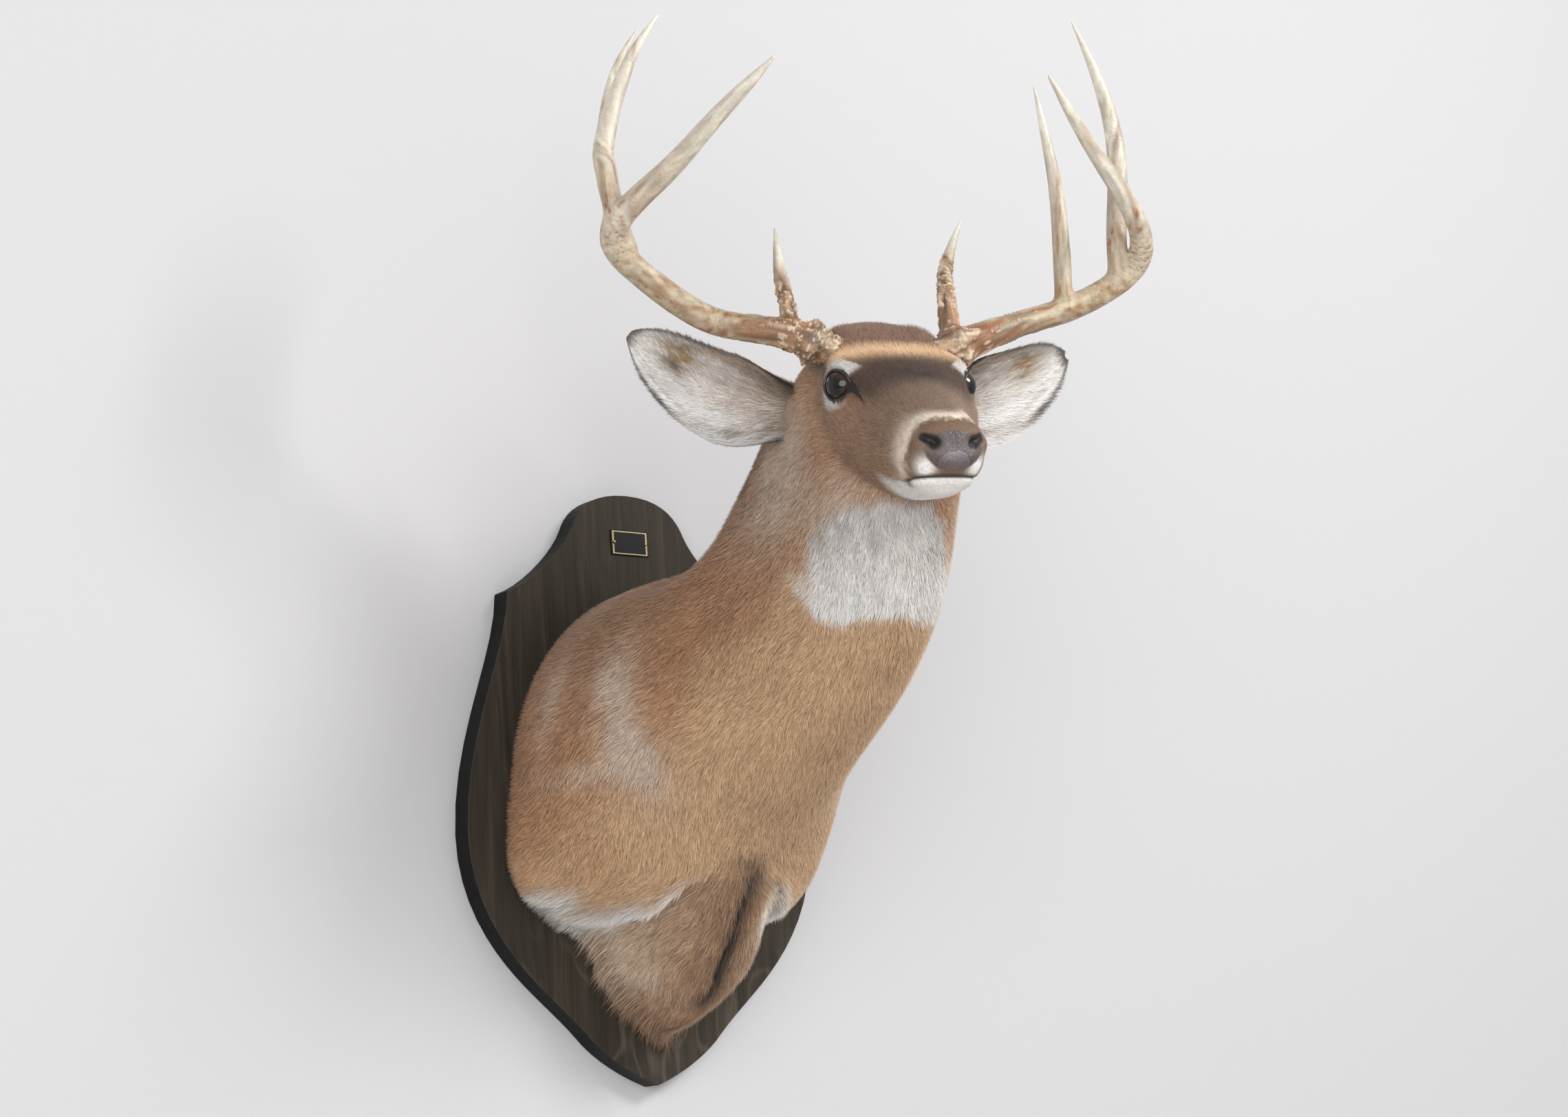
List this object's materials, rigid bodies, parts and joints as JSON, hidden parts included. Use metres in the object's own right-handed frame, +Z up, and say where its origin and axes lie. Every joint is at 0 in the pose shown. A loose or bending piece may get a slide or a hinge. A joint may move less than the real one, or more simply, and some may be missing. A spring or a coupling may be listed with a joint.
{
  "type": "deer shoulder mount",
  "caption": "Mounted white-tailed buck's head, neck and shoulders on a dark shield-shaped wall board, head turned to its right, with a small plate at the top.",
  "frame": {"origin": "centre of the board's flat back face, which lies on the wall", "axes": "+Z up the wall, -Y out of the wall towards the viewer, +X towards the deer's own left"},
  "size_m": [0.5123, 0.604, 0.99],
  "materials": {
    "stained_wood": "dark stain, satin",
    "black_plate": "black, satin",
    "brass_pin": "polished",
    "hide": "short matte hair",
    "antler_bone": "bone, satin",
    "glass_eye": "polished"
  },
  "bodies": {
    "root": {"board": "stained_wood", "name_plate": "black_plate", "plate_pin_right": "brass_pin", "plate_pin_left": "brass_pin", "chest": "hide", "neck": "hide", "head": "hide", "muzzle": "hide", "ear_right": "hide", "ear_left": "hide", "eye_right": "glass_eye", "eye_left": "glass_eye", "antler_right_beam_base": "antler_bone", "antler_right_beam_middle": "antler_bone", "antler_right_beam_tip": "antler_bone", "antler_right_brow_tine": "antler_bone", "antler_right_second_tine": "antler_bone", "antler_right_third_tine": "antler_bone", "antler_left_beam_base": "antler_bone", "antler_left_beam_middle": "antler_bone", "antler_left_beam_tip": "antler_bone", "antler_left_brow_tine": "antler_bone", "antler_left_second_tine": "antler_bone", "antler_left_third_tine": "antler_bone"}
  },
  "joints": []
}
